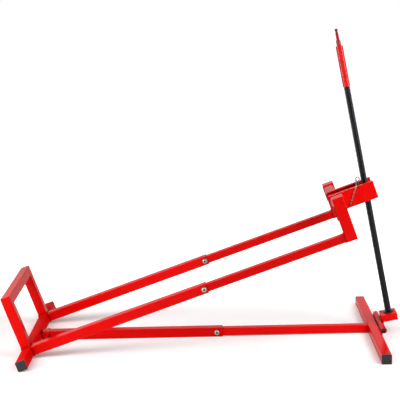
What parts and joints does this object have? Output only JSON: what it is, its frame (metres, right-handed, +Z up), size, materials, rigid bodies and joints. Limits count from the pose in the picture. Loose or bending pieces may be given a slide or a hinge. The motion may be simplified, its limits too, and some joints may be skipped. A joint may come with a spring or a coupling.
{
  "type": "lawn mower lift jack",
  "caption": "Screw-driven lift jack of red square tube: floor beams, hinged lift arms with a stop frame and forks, and a raking spindle driven from its top.",
  "frame": {"origin": "on the floor, at the middle of the jack's outline seen from above, with the lift arms at the picture's angle", "axes": "+X from the stop frame towards the spindle, +Y to the left when facing +X, +Z up"},
  "size_m": [1.224, 0.6, 0.962],
  "materials": {
    "red_paint": "gloss",
    "black_plastic": "satin",
    "zinc_steel": "satin",
    "black_steel": "satin",
    "bronze": "satin",
    "steel": "satin"
  },
  "bodies": {
    "base": {"front_foot_beam": "red_paint", "front_beam_plugs": "black_plastic", "base_outer_tube": "red_paint", "base_inner_tube": "red_paint", "base_joint_bolt": "zinc_steel", "base_joint_washers": "zinc_steel", "base_joint_nut": "zinc_steel", "front_hinge_leaf": "red_paint", "front_hinge_pin": "black_steel", "front_hinge_ring": "black_steel", "rear_hinge_pin": "red_paint", "rear_hinge_ring": "red_paint"},
    "lift_frame": {"rear_cross_beam": "red_paint", "rear_beam_plugs": "black_plastic", "rear_hinge_lugs": "red_paint", "stop_post_left": "red_paint", "stop_post_right": "red_paint", "stop_top_rail": "red_paint", "arm_outer_left": "red_paint", "arm_outer_right": "red_paint", "arm_inner_left": "red_paint", "arm_inner_right": "red_paint", "arm_joint_bolts": "zinc_steel", "arm_joint_washers": "zinc_steel", "arm_joint_nuts": "zinc_steel", "fork_post_left": "red_paint", "fork_post_right": "red_paint", "fork_post_plates": "red_paint", "fork_cross_tube_left": "red_paint", "fork_cross_tube_right": "red_paint", "spindle_channel": "red_paint", "nut_pivot_pin": "red_paint", "retaining_clip": "zinc_steel", "safety_chain": "zinc_steel", "chain_staple": "red_paint"},
    "spindle_foot": {"foot_knuckle": "red_paint", "foot_block": "red_paint", "spindle_bush": "bronze", "thrust_washer": "black_steel"},
    "spindle": {"spindle": "black_steel", "spindle_retainer": "steel", "retainer_pin": "steel", "drive_sleeve": "red_paint", "sleeve_pin": "red_paint", "drive_shank": "red_paint"},
    "nut": {"nut_carriage": "black_steel", "spindle_nut": "bronze"}
  },
  "joints": [
    {"name": "lift_pivot", "type": "hinge", "parent": "base", "child": "lift_frame", "pos_m": [-0.502, 0, 0.023], "axis": [0, -1, 0], "range_deg": [-17, 16]},
    {"name": "foot_tilt", "type": "hinge", "parent": "base", "child": "spindle_foot", "pos_m": [0.558, 0, 0.033], "axis": [0, -1, 0], "range_deg": [-9.9, 9.3]},
    {"name": "nut_travel", "type": "slide", "parent": "spindle_foot", "child": "nut", "axis": [-0.1822, 0, 0.9833], "range_m": [-0.309, 0.291]},
    {"name": "spindle_turn", "type": "hinge", "parent": "spindle_foot", "child": "spindle", "pos_m": [0.59015, 0, 0.03896], "axis": [-0.1822, 0, 0.9833], "continuous": true}
  ],
  "couplings": [
    {"joint": "foot_tilt", "follows": "lift_pivot", "ratio": 0.5766},
    {"joint": "nut_travel", "follows": "lift_pivot", "m_per_rad": 1.0395},
    {"joint": "spindle_turn", "follows": "lift_pivot", "ratio": -1632.8}
  ]
}
